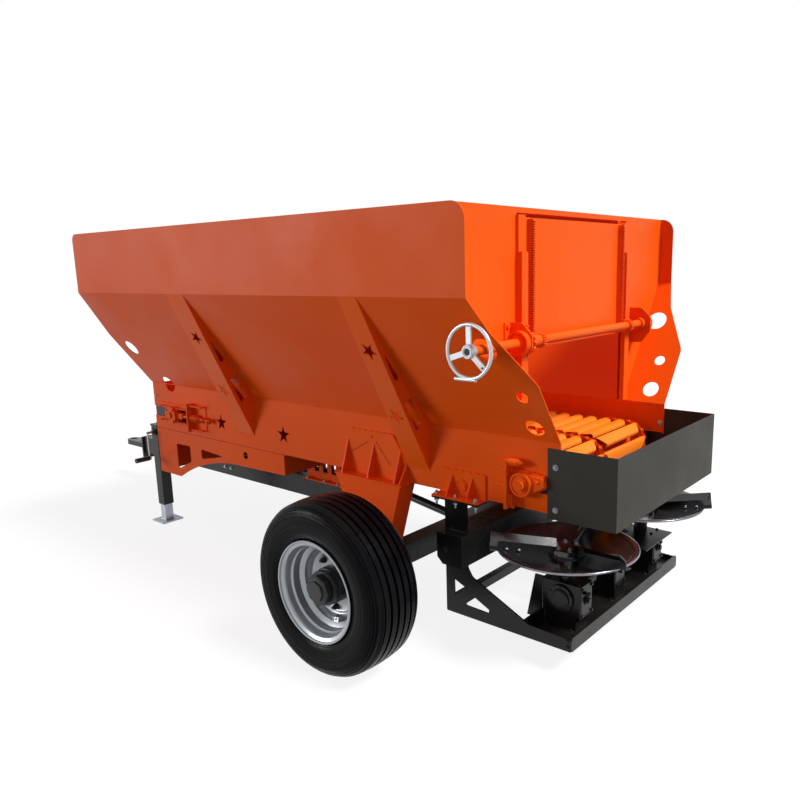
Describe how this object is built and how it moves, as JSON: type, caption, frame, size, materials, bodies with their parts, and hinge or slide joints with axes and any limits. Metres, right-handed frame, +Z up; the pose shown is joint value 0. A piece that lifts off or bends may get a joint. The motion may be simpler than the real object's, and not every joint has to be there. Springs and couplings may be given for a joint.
{
  "type": "towed manure spreader",
  "caption": "Towed single-axle manure and lime spreader: V-shaped hopper, slat-chain floor, rack-and-pinion rear gate, and twin spinning discs behind a deflector.",
  "frame": {"origin": "on the floor below the middle of the whole machine's box", "axes": "+X towards the hitch, +Y to the machine's left, +Z up"},
  "size_m": [4.7632, 2.408, 1.909],
  "materials": {
    "orange_paint": "semi-gloss orange enamel with light dust in the corners",
    "chain_orange": "orange enamel sprayed over the chain and slats",
    "black_paint": "satin black enamel",
    "disc_gloss": "gloss black enamel over pressed steel",
    "tyre": "ribbed implement tyre, dull sidewall",
    "rim_silver": "silver wheel paint",
    "hub_black": "black painted cast hub",
    "bright_steel": "polished bare steel",
    "zinc": "galvanised steel"
  },
  "bodies": {
    "root": {"hopper_left": "orange_paint", "hopper_right": "orange_paint", "hopper_rear_wall": "orange_paint", "hopper_front_wall": "orange_paint", "sill_left": "orange_paint", "sill_right": "orange_paint", "front_panels": "orange_paint", "cross_plates": "orange_paint", "hopper_struts": "orange_paint", "wheel_legs": "orange_paint", "axle": "black_paint", "conveyor_chain": "chain_orange", "conveyor_deck": "orange_paint", "drive_shaft": "orange_paint", "idler_shaft": "orange_paint", "take_ups": "orange_paint", "drive_bearings": "orange_paint", "gate_guides": "orange_paint", "gate_bearings": "orange_paint", "rear_brackets": "orange_paint", "spinner_frame": "black_paint", "gearboxes": "black_paint", "line_shafts": "black_paint", "deflector": "black_paint", "drawbar": "black_paint", "drawbar_hanger": "orange_paint", "pto_line": "black_paint", "jack_tube": "black_paint", "jack_leg": "zinc", "jack_crank": "bright_steel"},
    "gate": {"gate_panel": "orange_paint", "gate_racks": "orange_paint"},
    "gate_drive": {"gate_shaft": "orange_paint", "handwheel": "bright_steel"},
    "wheel_left": {"tyre_left": "tyre", "rim_left": "rim_silver", "hub_left": "hub_black"},
    "wheel_right": {"tyre_right": "tyre", "rim_right": "rim_silver", "hub_right": "hub_black"},
    "spinner_left": {"spinner_disc_left": "disc_gloss", "spinner_blades_left": "disc_gloss"},
    "spinner_right": {"spinner_disc_right": "disc_gloss", "spinner_blades_right": "disc_gloss"}
  },
  "joints": [
    {"name": "wheel_left_spin", "type": "hinge", "parent": "root", "child": "wheel_left", "pos_m": [-1.331, 1.07, 0.38], "axis": [0, 1, 0], "continuous": true},
    {"name": "wheel_right_spin", "type": "hinge", "parent": "root", "child": "wheel_right", "pos_m": [-1.331, -1.07, 0.38], "axis": [0, 1, 0], "continuous": true},
    {"name": "spinner_left_spin", "type": "hinge", "parent": "root", "child": "spinner_left", "pos_m": [-2.048, 0.375, 0.45], "axis": [0, 0, 1], "continuous": true},
    {"name": "spinner_right_spin", "type": "hinge", "parent": "root", "child": "spinner_right", "pos_m": [-2.048, -0.375, 0.45], "axis": [0, 0, 1], "continuous": true},
    {"name": "gate_slide", "type": "slide", "parent": "root", "child": "gate", "axis": [0, 0, 1], "range_m": [-0.345, 0]},
    {"name": "gate_drive_turn", "type": "hinge", "parent": "root", "child": "gate_drive", "pos_m": [-1.925, 0, 1.375], "axis": [0, 1, 0], "range_deg": [-1, 661]}
  ],
  "couplings": [
    {"joint": "spinner_right_spin", "follows": "spinner_left_spin", "ratio": -1},
    {"joint": "gate_drive_turn", "follows": "gate_slide", "rad_per_m": -33.333}
  ]
}
